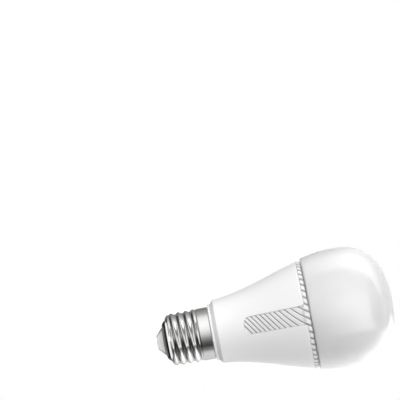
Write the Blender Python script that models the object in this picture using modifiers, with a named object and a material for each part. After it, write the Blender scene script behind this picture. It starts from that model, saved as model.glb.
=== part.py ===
"""Smart LED lamp with an E27 screw cap, modelled in metres as separate pieces.

The origin is the centre of the contact's end face, and +Z runs along the lamp from the cap to the dome.
The patterned collar's tab lies on the -Y side.
"""

import math

import bmesh
import bpy
from mathutils import Vector

MM = 0.001
LAMP = "smart_light_bulb"
GAP = 0.3 * MM
TURN_STEPS = 36
THREAD_STEPS = 28
SMALL_STEPS = 24

# Screw cap, after the E27 thread.
CREST_RADIUS = 13.1 * MM
ROOT_RADIUS = 12.2 * MM
THREAD_PITCH = 3.629 * MM
ROWS_PER_PITCH = 6
THREAD_START = 7.0 * MM
THREAD_END = 21.3 * MM
THREAD_FADE = 1.2 * MM
COLLAR_RADIUS = 12.9 * MM
SHELL_WALL = 0.4 * MM
SHELL_BOTTOM = 5.5 * MM
SHELL_TOP = 27.3 * MM

# Contact and insulator below the shell.
CONTACT_FACE_RADIUS = 3.1 * MM
CONTACT_RADIUS = 7.1 * MM
CONTACT_HEIGHT = 3.2 * MM
CONTACT_WALL = 0.8 * MM
CONTACT_RIM = 1.1 * MM
CONTACT_CHAMFER = (0.5 * MM, 0.3 * MM)
SOLDER_RADIUS = 1.3 * MM
SOLDER_HEIGHT = 1.0 * MM
INSULATOR_BULGE = 2.7 * MM
INSULATOR_RADIUS = 10.3 * MM
INSULATOR_TOP = 7.6 * MM
WIRE_BORE = 2.5 * MM

# Housing: a flange over the cap, then a waisted flare up to the collar.
FLANGE_BOTTOM = 27.6 * MM
FLANGE_RADIUS = 13.8 * MM
FLANGE_LIP = 1.0 * MM
WAIST = ((15.75, 30.6), (16.6, 45.0), (23.6, 62.0), (26.55, 74.1))
HOUSING_TOP = WAIST[-1][1] * MM
HOUSING_WALL = 1.8 * MM
NECK_RADIUS = 11.3 * MM
NECK_SHOULDER_RADIUS = 12.2 * MM
NECK_BORE = 10.0 * MM
NECK_BOTTOM = 8.0 * MM
NECK_SHOULDER = 22.0 * MM

# Patterned collar: a ring at the seam and one tab that runs down the flare.
RING_BOTTOM = HOUSING_TOP + GAP
RING_TOP = 76.5 * MM
RING_RADIUS = 26.8 * MM
RING_BORE = 24.1 * MM
TAB_SINK = 0.4 * MM
TAB_WALL = 1.1 * MM
TAB_BOTTOM = 43.9 * MM
TAB_END_HALF_WIDTH = 4.15 * MM
TAB_RING_HALF_WIDTH = 4.65 * MM
TAB_CORNER = 3.0 * MM
SLOT_REACH = 11.0 * MM
SLOT_Y = -21.0 * MM

# Diffuser dome: a shallow bulge below its widest ring, a flattened oval above it.
DOME_BOTTOM = RING_TOP + GAP
DOME_RIM_RADIUS = 27.85 * MM
DOME_RADIUS = 30.0 * MM
DOME_WIDEST = 93.0 * MM
DOME_TOP = 118.3 * MM
DOME_POWER = 2.4
DOME_WALL = 1.5 * MM
SKIRT_RADIUS = 23.8 * MM
SKIRT_BORE = 22.5 * MM
SKIRT_BOTTOM = 72.1 * MM

# Heat sink, liner and the light board on top of them.
CUP_WALL = 1.0 * MM
CUP_BOTTOM = 35.5 * MM
CUP_TOP = 70.9 * MM
SHELF_RADIUS = 18.5 * MM
LINER_WALL = 0.8 * MM
LINER_TOP = 67.0 * MM
PAD_BOTTOM = CUP_TOP + GAP
PAD_THICKNESS = 0.4 * MM
BOARD_RADIUS = 22.2 * MM
BOARD_BOTTOM = PAD_BOTTOM + PAD_THICKNESS + GAP
BOARD_THICKNESS = 1.2 * MM
BOARD_TOP = BOARD_BOTTOM + BOARD_THICKNESS
SCREW_CIRCLE = 20.3 * MM
LED_COUNT = 16
LED_CIRCLE = 16.5 * MM
LED_SIZE = (3.5 * MM, 2.8 * MM, 0.7 * MM)
SCREW_SHANK_RADIUS = 0.8 * MM
SCREW_HEAD_RADIUS = 1.5 * MM
SCREW_HEAD_HEIGHT = 0.9 * MM
SCREW_DEPTH = 3.2 * MM
SCREW_HOLE_RADIUS = 1.1 * MM

# Driver board, which stands on edge along the axis.
DRIVER_HALF = 0.6 * MM
DRIVER_NECK_HALF_WIDTH = 7.5 * MM
DRIVER_WIDE_HALF_WIDTH = 12.4 * MM
DRIVER_BOTTOM = 10.5 * MM
DRIVER_SHOULDER = (39.5 * MM, 43.0 * MM)
DRIVER_TOP = 66.0 * MM
FRONT = -DRIVER_HALF - GAP
BACK = DRIVER_HALF + GAP

# Parts on the driver board, each by its size and the middle, or the base, where it stands.
FUSE_RADIUS = 1.5 * MM
FUSE_LENGTH = 5.5 * MM
FUSE_MIDDLE = (-4.5 * MM, BACK + FUSE_RADIUS, 14.0 * MM)
BRIDGE_SIZE = (6.4 * MM, 2.4 * MM, 4.8 * MM)
BRIDGE_MIDDLE = (0.0, FRONT - BRIDGE_SIZE[1] / 2, 18.5 * MM)
FILM_SIZE = (8.0 * MM, 4.0 * MM, 7.0 * MM)
FILM_MIDDLE = (0.0, FRONT - FILM_SIZE[1] / 2, 26.5 * MM)
INPUT_CAN_RADIUS = 4.0 * MM
INPUT_CAN_HEIGHT = 12.0 * MM
INPUT_CAN_BASE = (0.0, BACK + INPUT_CAN_RADIUS, 18.0 * MM)
OUTPUT_CAN_RADIUS = 5.0 * MM
OUTPUT_CAN_HEIGHT = 16.0 * MM
OUTPUT_CAN_BASE = (5.5 * MM, FRONT - OUTPUT_CAN_RADIUS, 46.0 * MM)
CAN_GROOVE_HEIGHT = 1.6 * MM
CAN_GROOVE_HALF = 0.5 * MM
CAN_GROOVE_DEPTH = 0.4 * MM
CHOKE_RADIUS = 4.0 * MM
CHOKE_WAIST = 3.2 * MM
CHOKE_HEIGHT = 8.0 * MM
CHOKE_FLANGE = 1.2 * MM
CHOKE_BASE = (-6.5 * MM, FRONT - CHOKE_RADIUS, 44.5 * MM)
CHIP_SIZE = (5.0 * MM, 1.5 * MM, 4.0 * MM)
CHIP_MIDDLE = (-6.5 * MM, FRONT - CHIP_SIZE[1] / 2, 58.0 * MM)
SWITCH_SIZE = (6.5 * MM, 2.3 * MM, 6.0 * MM)
SWITCH_MIDDLE = (6.5 * MM, BACK + SWITCH_SIZE[1] / 2, 61.0 * MM)
CORE_SIZE = (13.0 * MM, 6.0 * MM, 12.0 * MM)
CORE_MIDDLE = (0.0, BACK + 5.5 * MM, 50.5 * MM)
CORE_WINDOW = (3.0 * MM, 8.0 * MM, 8.0 * MM)
CORE_WINDOW_X = 3.5 * MM
WINDING_SIZE = (9.4 * MM, 11.0 * MM, 7.4 * MM)
LEG_CLEARANCE = (4.6 * MM, 6.6 * MM, 9.0 * MM)

# The two leads from the board to the cap, as points along each in millimetres.
LEAD_RADIUS = 0.55 * MM
LIVE_ROUTE = (
    (0.0, 0.0, 2.6),
    (0.1, -0.1, 5.5),
    (1.2, -1.0, 8.2),
    (2.4, -1.6, 11.0),
    (2.6, -1.7, 14.0),
)
NEUTRAL_ROUTE = (
    (-11.0, 0.0, 9.6),
    (-9.6, -0.1, 9.5),
    (-7.6, -1.0, 10.2),
    (-6.3, -1.6, 12.0),
    (-6.0, -1.7, 14.5),
)
NOTCH_SIZE = (4.0 * MM, 2.4 * MM, 6.0 * MM)
NOTCH_X = -10.5 * MM

# Radio board and output header, which reach up through the light board.
RADIO_Y = 13.0 * MM
RADIO_HALF_WIDTH = 7.0 * MM
RADIO_HALF = 0.5 * MM
RADIO_BOTTOM = 57.5 * MM
RADIO_TOP = 80.0 * MM
RADIO_CAN_SIZE = (10.5 * MM, 1.8 * MM, 9.0 * MM)
RADIO_CAN_RISE = 6.0 * MM
RADIO_SLOT = (14.8 * MM, 1.8 * MM, 6.0 * MM)
HEADER_X = -6.0 * MM
HEADER_SIZE = (7.6 * MM, 2.4 * MM, 5.0 * MM)
HEADER_Y = BACK + HEADER_SIZE[1] / 2
HEADER_BOTTOM = 61.0 * MM
HEADER_SLOT = (6.4 * MM, 1.6 * MM, 6.0 * MM)
PIN_WIDTH = 0.6 * MM
PIN_PITCH = 2.0 * MM
PIN_RISE = 1.2 * MM


def clear_scene():
    for obj in list(bpy.data.objects):
        bpy.data.objects.remove(obj, do_unlink=True)


def new_collection(name):
    collection = bpy.data.collections.new(name)
    bpy.context.scene.collection.children.link(collection)
    return collection


def material(name, colour, roughness, metallic=0.0):
    made = bpy.data.materials.new(name)
    made.use_nodes = True
    shader = made.node_tree.nodes["Principled BSDF"]
    shader.inputs["Base Color"].default_value = (*colour, 1.0)
    shader.inputs["Roughness"].default_value = roughness
    shader.inputs["Metallic"].default_value = metallic
    return made


def place(obj, name, collection, finish=None):
    """Names the object, moves it to its collection and gives it its material."""
    obj.name = name
    obj.data.name = name
    for owner in list(obj.users_collection):
        owner.objects.unlink(obj)
    collection.objects.link(obj)
    if finish:
        obj.data.materials.append(finish)
    return obj


def as_cutter(obj):
    obj.hide_render = True
    obj.display_type = "WIRE"
    return obj


def combine(obj, other, operation="DIFFERENCE"):
    boolean = obj.modifiers.new(f"{operation.lower()}_{other.name}", "BOOLEAN")
    boolean.operation = operation
    boolean.object = other


def as_mesh(obj):
    """Replaces a curve, or an object with modifiers, by its welded mesh."""
    graph = bpy.context.evaluated_depsgraph_get()
    mesh = bpy.data.meshes.new_from_object(obj.evaluated_get(graph))
    cage = bmesh.new()
    cage.from_mesh(mesh)
    bmesh.ops.remove_doubles(cage, verts=cage.verts, dist=0.001 * MM)
    cage.to_mesh(mesh)
    cage.free()
    made = bpy.data.objects.new(obj.name, mesh)
    made.matrix_world = obj.matrix_world.copy()
    bpy.context.scene.collection.objects.link(made)
    bpy.data.objects.remove(obj, do_unlink=True)
    return made


def turned(profile, steps=TURN_STEPS, closed=True):
    """Spins (radius, height) points, given down the outer side, about the Z axis."""
    mesh = bpy.data.meshes.new("profile")
    points = [(radius, 0.0, height) for radius, height in profile]
    edges = [(i, i + 1) for i in range(len(points) - 1)]
    if closed:
        edges.append((len(points) - 1, 0))
    mesh.from_pydata(points, edges, [])
    obj = bpy.data.objects.new("profile", mesh)
    bpy.context.scene.collection.objects.link(obj)
    screw = obj.modifiers.new("turn", "SCREW")
    screw.axis = "Z"
    screw.steps = steps
    screw.render_steps = steps
    screw.use_merge_vertices = True
    screw.merge_threshold = 0.01 * MM
    screw.use_smooth_shade = True
    return obj


def block(size, centre, bevel=0.0):
    bpy.ops.mesh.primitive_cube_add(size=1.0, location=centre)
    obj = bpy.context.object
    obj.scale = size
    bpy.ops.object.transform_apply(location=False, rotation=False, scale=True)
    if bevel:
        edges = obj.modifiers.new("edges", "BEVEL")
        edges.width = bevel
        edges.segments = 1
    return obj


def cylinder(radius, height, centre, steps=SMALL_STEPS):
    bpy.ops.mesh.primitive_cylinder_add(vertices=steps, radius=radius, depth=height, location=centre)
    return bpy.context.object


def plate(outline, half_thickness, y):
    """A flat piece in the XZ plane: a filled 2D curve with a thickness along Y."""
    curve = bpy.data.curves.new("outline", "CURVE")
    curve.dimensions = "2D"
    curve.fill_mode = "BOTH"
    curve.extrude = half_thickness
    spline = curve.splines.new("POLY")
    spline.points.add(len(outline) - 1)
    for point, (x, z) in zip(spline.points, outline):
        point.co = (x, z, 0.0, 1.0)
    spline.use_cyclic_u = True
    obj = bpy.data.objects.new("outline", curve)
    obj.rotation_euler = (math.pi / 2, 0.0, 0.0)
    obj.location = (0.0, y, 0.0)
    bpy.context.scene.collection.objects.link(obj)
    bpy.context.view_layer.update()
    return as_mesh(obj)


def smooth_route(points, cuts=4):
    """A Catmull-Rom curve through the route's own points."""
    ends = [2 * points[0] - points[1], *points, 2 * points[-1] - points[-2]]
    route = []
    for a, b, c, d in zip(ends, ends[1:], ends[2:], ends[3:]):
        for cut in range(cuts):
            t = cut / cuts
            squared = (2 * a - 5 * b + 4 * c - d) * t**2
            cubed = (3 * b - a - 3 * c + d) * t**3
            route.append(0.5 * (2 * b + (c - a) * t + squared + cubed))
    return [*route, points[-1]]


def wire(route, radius):
    curve = bpy.data.curves.new("wire", "CURVE")
    curve.dimensions = "3D"
    curve.bevel_depth = radius
    curve.bevel_resolution = 2
    curve.use_fill_caps = True
    points = smooth_route([Vector(point) * MM for point in route])
    spline = curve.splines.new("POLY")
    spline.points.add(len(points) - 1)
    for target, point in zip(spline.points, points):
        target.co = (*point, 1.0)
    obj = bpy.data.objects.new("wire", curve)
    bpy.context.scene.collection.objects.link(obj)
    return obj


def waist_points(inset, low, high, steps=9):
    """The housing's flared outline, drawn in by inset, as (radius, height) points from high to low."""
    fine = 60
    curve = []
    for index in range(fine + 1):
        t = index / fine
        weights = ((1 - t) ** 3, 3 * t * (1 - t) ** 2, 3 * t**2 * (1 - t), t**3)
        radius = sum(w * point[0] for w, point in zip(weights, WAIST)) * MM
        height = sum(w * point[1] for w, point in zip(weights, WAIST)) * MM
        curve.append((radius, height))
    points = []
    for index in range(steps):
        height = high + (low - high) * index / (steps - 1)
        radius = curve[0][0]
        for (r0, z0), (r1, z1) in zip(curve, curve[1:]):
            if z0 <= height <= z1:
                radius = r0 + (r1 - r0) * (height - z0) / (z1 - z0)
        if height > curve[-1][1]:
            radius = curve[-1][0]
        points.append((radius - inset, height))
    return points


def dome_points(inset, steps_above=9, steps_below=4):
    """The dome's outline from its top to its rim, drawn in by inset."""
    rise = DOME_TOP - DOME_WIDEST - inset
    reach = DOME_RADIUS - inset
    points = []
    for index in range(steps_above + 1):
        angle = math.pi / 2 * (1 - index / steps_above)
        radius = reach * max(math.cos(angle), 0.0) ** (2 / DOME_POWER)
        height = DOME_WIDEST + rise * math.sin(angle) ** (2 / DOME_POWER)
        points.append((radius if index else 0.0, height))
    depth = DOME_WIDEST - DOME_BOTTOM
    for index in range(1, steps_below + 1):
        drop = index / steps_below * (1 - 0.6 * MM / depth)
        radius = DOME_RADIUS - (DOME_RADIUS - DOME_RIM_RADIUS) * drop**2
        points.append((radius - inset, DOME_WIDEST - depth * drop))
    return points


def tab_outline(clearance, top):
    """The tab's flat outline: straight tapering sides and two rounded corners at its far end."""
    end = TAB_END_HALF_WIDTH + clearance
    side = TAB_RING_HALF_WIDTH + clearance
    corner = TAB_CORNER + clearance
    low = TAB_BOTTOM - clearance
    steps = 5
    right = [(side, top)]
    for index in range(steps + 1):
        angle = math.pi / 2 * index / steps
        x = end - corner + corner * math.cos(angle)
        right.append((x, low + corner - corner * math.sin(angle)))
    return right + [(-x, z) for x, z in reversed(right)]


def build_dome(parts, finish):
    inner = dome_points(DOME_WALL)
    rim_inner = (SKIRT_BORE + 1.6 * MM, DOME_BOTTOM + 1.6 * MM)
    profile = [
        *dome_points(0.0),
        (DOME_RIM_RADIUS - 0.45 * MM, DOME_BOTTOM),
        (SKIRT_RADIUS, DOME_BOTTOM),
        (SKIRT_RADIUS, SKIRT_BOTTOM),
        (SKIRT_BORE, SKIRT_BOTTOM),
        (SKIRT_BORE, DOME_BOTTOM),
        rim_inner,
        *reversed(inner[:-1]),
    ]
    place(turned(profile, closed=False), "diffuser_dome", parts, finish)


def build_collar(parts, cutters, finish):
    ring = [
        (RING_RADIUS, RING_TOP),
        (RING_RADIUS - 0.15 * MM, RING_BOTTOM),
        (RING_BORE, RING_BOTTOM),
        (RING_BORE, RING_TOP),
    ]
    collar = place(turned(ring), "pattern_collar", parts, finish)
    sleeve_top = RING_BOTTOM + 1.0 * MM
    outer = waist_points(TAB_SINK, TAB_BOTTOM - 1.0 * MM, sleeve_top)
    inner = waist_points(TAB_SINK + TAB_WALL, TAB_BOTTOM - 1.0 * MM, sleeve_top)
    tab = as_cutter(place(turned(outer + inner[::-1]), "tab_blank", cutters))
    outline = tab_outline(0.0, sleeve_top + 1.0 * MM)
    shape = as_cutter(place(plate(outline, SLOT_REACH, SLOT_Y), "tab_shape", cutters))
    combine(tab, shape, "INTERSECT")
    combine(collar, tab, "UNION")


def build_housing(parts, cutters, finish):
    flare_low = WAIST[0][1] * MM
    neck_mouth = flare_low + 2.0 * MM
    profile = [
        *waist_points(0.0, flare_low, HOUSING_TOP),
        (FLANGE_RADIUS, FLANGE_BOTTOM + FLANGE_LIP),
        (FLANGE_RADIUS, FLANGE_BOTTOM),
        (NECK_SHOULDER_RADIUS, FLANGE_BOTTOM),
        (NECK_SHOULDER_RADIUS, NECK_SHOULDER),
        (NECK_RADIUS, NECK_SHOULDER - 0.7 * MM),
        (NECK_RADIUS, NECK_BOTTOM),
        (NECK_BORE, NECK_BOTTOM),
        (NECK_BORE, FLANGE_BOTTOM + FLANGE_LIP),
        *reversed(waist_points(HOUSING_WALL, neck_mouth, HOUSING_TOP, 8)),
    ]
    housing = place(turned(profile), "outer_housing", parts, finish)
    outline = tab_outline(GAP, HOUSING_TOP + 1.0 * MM)
    slot = as_cutter(place(plate(outline, SLOT_REACH, SLOT_Y), "tab_slot", cutters))
    combine(housing, slot)
    notch = block(NOTCH_SIZE, (NOTCH_X, 0.0, NECK_BOTTOM))
    combine(housing, as_cutter(place(notch, "wire_notch", cutters)))


def thread_wave(height, angle):
    """How far the thread moves the shell out from its mean radius at this height and angle."""
    fade = min(height - THREAD_START, THREAD_END - height) / THREAD_FADE
    fade = min(max(fade, 0.0), 1.0)
    depth = (CREST_RADIUS - ROOT_RADIUS) / 2
    return depth * fade * math.cos(2 * math.pi * height / THREAD_PITCH - angle)


def build_screw_shell(parts, finish):
    mean = (CREST_RADIUS + ROOT_RADIUS) / 2
    rows = round((THREAD_END - THREAD_START) / THREAD_PITCH * ROWS_PER_PITCH)
    outer = [(COLLAR_RADIUS, SHELL_TOP), (COLLAR_RADIUS, THREAD_END + 0.5 * MM)]
    for row in range(rows + 1):
        outer.append((mean, THREAD_END + (THREAD_START - THREAD_END) * row / rows))
    outer.append((mean - 0.6 * MM, SHELL_BOTTOM + 0.8 * MM))
    outer.append((INSULATOR_RADIUS + 0.6 * MM, SHELL_BOTTOM))
    inner = [(radius - SHELL_WALL, height) for radius, height in outer[:-1]]
    lip = (INSULATOR_RADIUS + 0.35 * MM, SHELL_BOTTOM + SHELL_WALL)
    shell = as_mesh(turned([*outer, lip, *reversed(inner)], THREAD_STEPS))
    for vertex in shell.data.vertices:
        x, y, height = vertex.co
        radius = math.hypot(x, y)
        moved = (radius + thread_wave(height, math.atan2(y, x))) / radius
        vertex.co = (x * moved, y * moved, height)
    place(shell, "screw_shell", parts, finish)


def build_cap_end(parts, glass, plated, solder):
    low = CONTACT_HEIGHT + GAP
    arc_steps = 4
    bulge = []
    for step in range(arc_steps + 1):
        angle = math.pi / 2 * step / arc_steps
        radius = CONTACT_RADIUS + (INSULATOR_RADIUS - CONTACT_RADIUS) * math.cos(angle)
        bulge.append((radius, low + INSULATOR_BULGE * (1 - math.sin(angle))))
    ring = [
        (INSULATOR_RADIUS, INSULATOR_TOP),
        *bulge,
        (WIRE_BORE, low),
        (WIRE_BORE, INSULATOR_TOP),
    ]
    place(turned(ring, THREAD_STEPS), "cap_insulator", parts, glass)
    chamfer_out, chamfer_up = CONTACT_CHAMFER
    contact = [
        (0.0, CONTACT_WALL),
        (CONTACT_FACE_RADIUS - chamfer_up, CONTACT_WALL),
        (CONTACT_RADIUS - CONTACT_RIM, CONTACT_HEIGHT),
        (CONTACT_RADIUS, CONTACT_HEIGHT),
        (CONTACT_FACE_RADIUS + chamfer_out, chamfer_up),
        (CONTACT_FACE_RADIUS, 0.0),
        (0.0, 0.0),
    ]
    place(turned(contact, THREAD_STEPS, closed=False), "centre_contact", parts, plated)
    blob_low = CONTACT_WALL + GAP
    blob = [
        (0.0, blob_low + SOLDER_HEIGHT),
        (SOLDER_RADIUS * 0.55, blob_low + SOLDER_HEIGHT * 0.8),
        (SOLDER_RADIUS, blob_low),
        (0.0, blob_low),
    ]
    place(turned(blob, SMALL_STEPS, closed=False), "contact_solder", parts, solder)


def build_heat_sink(parts, cutters, aluminium, liner_finish, screw_points):
    outer_inset = HOUSING_WALL + GAP
    outer = waist_points(outer_inset, CUP_BOTTOM, CUP_TOP, 8)
    inner = waist_points(outer_inset + CUP_WALL, CUP_BOTTOM, CUP_TOP - CUP_WALL, 8)
    shelf = [(SHELF_RADIUS, CUP_TOP - CUP_WALL), (SHELF_RADIUS, CUP_TOP)]
    cup = place(turned([*outer, *reversed(inner), *shelf]), "heat_sink_cup", parts, aluminium)
    for index, (x, y) in enumerate(screw_points, 1):
        hole = cylinder(SCREW_HOLE_RADIUS, 4 * CUP_WALL, (x, y, CUP_TOP), 12)
        combine(cup, as_cutter(place(hole, f"shelf_hole_{index}", cutters)))
    liner_inset = outer_inset + CUP_WALL + GAP
    outer = waist_points(liner_inset, CUP_BOTTOM, LINER_TOP, 6)
    inner = waist_points(liner_inset + LINER_WALL, CUP_BOTTOM, LINER_TOP, 6)
    place(turned(outer + inner[::-1]), "driver_liner", parts, liner_finish)


def build_light_board(parts, cutters, finishes, screw_points):
    pad_outer = BOARD_RADIUS - 0.2 * MM
    pad_inner = SHELF_RADIUS + 0.2 * MM
    pad_top = PAD_BOTTOM + PAD_THICKNESS
    pad_profile = [
        (pad_outer, pad_top),
        (pad_outer, PAD_BOTTOM),
        (pad_inner, PAD_BOTTOM),
        (pad_inner, pad_top),
    ]
    pad = place(turned(pad_profile, SMALL_STEPS), "thermal_pad", parts, finishes["pad"])
    middle = (BOARD_BOTTOM + BOARD_TOP) / 2
    board = cylinder(BOARD_RADIUS, BOARD_THICKNESS, (0.0, 0.0, middle), TURN_STEPS)
    place(board, "led_board", parts, finishes["board"])
    radio_slot = block(RADIO_SLOT, (0.0, RADIO_Y, middle))
    header_slot = block(HEADER_SLOT, (HEADER_X, HEADER_Y, middle))
    for name, slot in (("radio_slot", radio_slot), ("header_slot", header_slot)):
        combine(board, as_cutter(place(slot, name, cutters)))
    for index, (x, y) in enumerate(screw_points, 1):
        drill = cylinder(SCREW_HOLE_RADIUS, 5 * BOARD_THICKNESS, (x, y, middle), 12)
        hole = as_cutter(place(drill, f"board_hole_{index}", cutters))
        combine(board, hole)
        combine(pad, hole)
        head = BOARD_TOP + GAP
        tip = CUP_TOP - SCREW_DEPTH
        profile = [
            (0.0, head + SCREW_HEAD_HEIGHT),
            (SCREW_HEAD_RADIUS - 0.5 * MM, head + SCREW_HEAD_HEIGHT),
            (SCREW_HEAD_RADIUS, head + SCREW_HEAD_HEIGHT - 0.5 * MM),
            (SCREW_HEAD_RADIUS, head),
            (SCREW_SHANK_RADIUS, head),
            (SCREW_SHANK_RADIUS, tip + 0.6 * MM),
            (SCREW_SHANK_RADIUS / 2, tip),
            (0.0, tip),
        ]
        screw = turned(profile, 12, closed=False)
        screw.location = (x, y, 0.0)
        place(screw, f"board_screw_{index}", parts, finishes["screw"])
    seal_low = CUP_TOP + GAP
    seal_top = SKIRT_BOTTOM - GAP
    seal_outer = SKIRT_RADIUS - 0.1 * MM
    seal = [
        (seal_outer, seal_top),
        (seal_outer, seal_low),
        (SKIRT_BORE, seal_low),
        (SKIRT_BORE, seal_top),
    ]
    place(turned(seal, SMALL_STEPS), "diffuser_seal", parts, finishes["silicone"])
    for number in range(LED_COUNT):
        angle = 2 * math.pi * (number + 0.5) / LED_COUNT
        height = BOARD_TOP + GAP + LED_SIZE[2] / 2
        led = block(LED_SIZE, (0.0, 0.0, 0.0), 0.15 * MM)
        led.location = (LED_CIRCLE * math.cos(angle), LED_CIRCLE * math.sin(angle), height)
        led.rotation_euler.z = angle + math.pi / 2
        place(led, f"led_{number + 1:02d}", parts, finishes["led"])


def build_driver_board(parts, finish):
    neck = DRIVER_NECK_HALF_WIDTH
    wide = DRIVER_WIDE_HALF_WIDTH
    low, high = DRIVER_SHOULDER
    right = [(wide, DRIVER_TOP), (wide, high), (neck, low), (neck, DRIVER_BOTTOM)]
    outline = right + [(-x, z) for x, z in reversed(right)]
    place(plate(outline, DRIVER_HALF, 0.0), "driver_board", parts, finish)


def can_capacitor(radius, height, base):
    """An electrolytic capacitor: a can with a rolled groove near its base."""
    shoulder = CAN_GROOVE_DEPTH
    profile = [
        (0.0, height),
        (radius - shoulder, height),
        (radius, height - shoulder),
        (radius, CAN_GROOVE_HEIGHT + CAN_GROOVE_HALF),
        (radius - CAN_GROOVE_DEPTH, CAN_GROOVE_HEIGHT),
        (radius, CAN_GROOVE_HEIGHT - CAN_GROOVE_HALF),
        (radius, 0.0),
        (0.0, 0.0),
    ]
    can = turned(profile, SMALL_STEPS, closed=False)
    can.location = base
    return can


def build_mains_side(parts, finishes):
    """The parts in the neck: fuse, rectifier, mains filter and the two leads to the cap."""
    fuse = cylinder(FUSE_RADIUS, FUSE_LENGTH, FUSE_MIDDLE, 16)
    place(fuse, "fuse_resistor", parts, finishes["fuse"])
    bridge = block(BRIDGE_SIZE, BRIDGE_MIDDLE, 0.25 * MM)
    place(bridge, "bridge_rectifier", parts, finishes["chip"])
    film = block(FILM_SIZE, FILM_MIDDLE, 0.4 * MM)
    place(film, "film_capacitor", parts, finishes["film"])
    can = can_capacitor(INPUT_CAN_RADIUS, INPUT_CAN_HEIGHT, INPUT_CAN_BASE)
    place(can, "input_capacitor", parts, finishes["can"])
    place(wire(LIVE_ROUTE, LEAD_RADIUS), "live_wire", parts, finishes["live"])
    place(wire(NEUTRAL_ROUTE, LEAD_RADIUS), "neutral_wire", parts, finishes["neutral"])


def build_transformer(parts, cutters, ferrite, tape):
    x, y, z = CORE_MIDDLE
    core = place(block(CORE_SIZE, CORE_MIDDLE), "transformer_core", parts, ferrite)
    for name, side in (("core_window_1", -1), ("core_window_2", 1)):
        window = block(CORE_WINDOW, (x + side * CORE_WINDOW_X, y, z))
        combine(core, as_cutter(place(window, name, cutters)))
    winding = place(block(WINDING_SIZE, CORE_MIDDLE), "transformer_winding", parts, tape)
    leg = block(LEG_CLEARANCE, CORE_MIDDLE)
    combine(winding, as_cutter(place(leg, "leg_clearance", cutters)))


def build_output_side(parts, finishes):
    """The parts in the wide half: choke, controller, switch and output capacitor."""
    can = can_capacitor(OUTPUT_CAN_RADIUS, OUTPUT_CAN_HEIGHT, OUTPUT_CAN_BASE)
    place(can, "output_capacitor", parts, finishes["can"])
    profile = [
        (0.0, CHOKE_HEIGHT),
        (CHOKE_RADIUS, CHOKE_HEIGHT),
        (CHOKE_RADIUS, CHOKE_HEIGHT - CHOKE_FLANGE),
        (CHOKE_WAIST, CHOKE_HEIGHT - CHOKE_FLANGE - 0.2 * MM),
        (CHOKE_WAIST, CHOKE_FLANGE + 0.2 * MM),
        (CHOKE_RADIUS, CHOKE_FLANGE),
        (CHOKE_RADIUS, 0.0),
        (0.0, 0.0),
    ]
    choke = turned(profile, SMALL_STEPS, closed=False)
    choke.location = CHOKE_BASE
    place(choke, "filter_choke", parts, finishes["choke"])
    chip = block(CHIP_SIZE, CHIP_MIDDLE, 0.15 * MM)
    place(chip, "driver_chip", parts, finishes["chip"])
    switch = block(SWITCH_SIZE, SWITCH_MIDDLE, 0.2 * MM)
    place(switch, "power_transistor", parts, finishes["chip"])


def build_header(parts, cutters, finish):
    height = HEADER_SIZE[2]
    header = block(HEADER_SIZE, (HEADER_X, HEADER_Y, HEADER_BOTTOM + height / 2), 0.2 * MM)
    place(header, "output_header", parts, finish)
    pin_top = BOARD_TOP + PIN_RISE
    pin_low = HEADER_BOTTOM + height - 0.5 * MM
    for index, offset in enumerate((-PIN_PITCH, 0.0, PIN_PITCH), 1):
        centre = (HEADER_X + offset, HEADER_Y, (pin_top + pin_low) / 2)
        pin = block((PIN_WIDTH, PIN_WIDTH, pin_top - pin_low), centre)
        combine(header, as_cutter(place(pin, f"header_pin_{index}", cutters)), "UNION")


def build_radio(parts, board_finish, can_finish):
    """The radio board, whose aerial end stands clear of the light board, and its screening can."""
    middle = (RADIO_BOTTOM + RADIO_TOP) / 2
    size = (2 * RADIO_HALF_WIDTH, 2 * RADIO_HALF, RADIO_TOP - RADIO_BOTTOM)
    place(block(size, (0.0, RADIO_Y, middle)), "wifi_board", parts, board_finish)
    can_y = RADIO_Y - RADIO_HALF - GAP - RADIO_CAN_SIZE[1] / 2
    can = block(RADIO_CAN_SIZE, (0.0, can_y, RADIO_BOTTOM + RADIO_CAN_RISE), 0.3 * MM)
    place(can, "wifi_shield_can", parts, can_finish)


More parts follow.
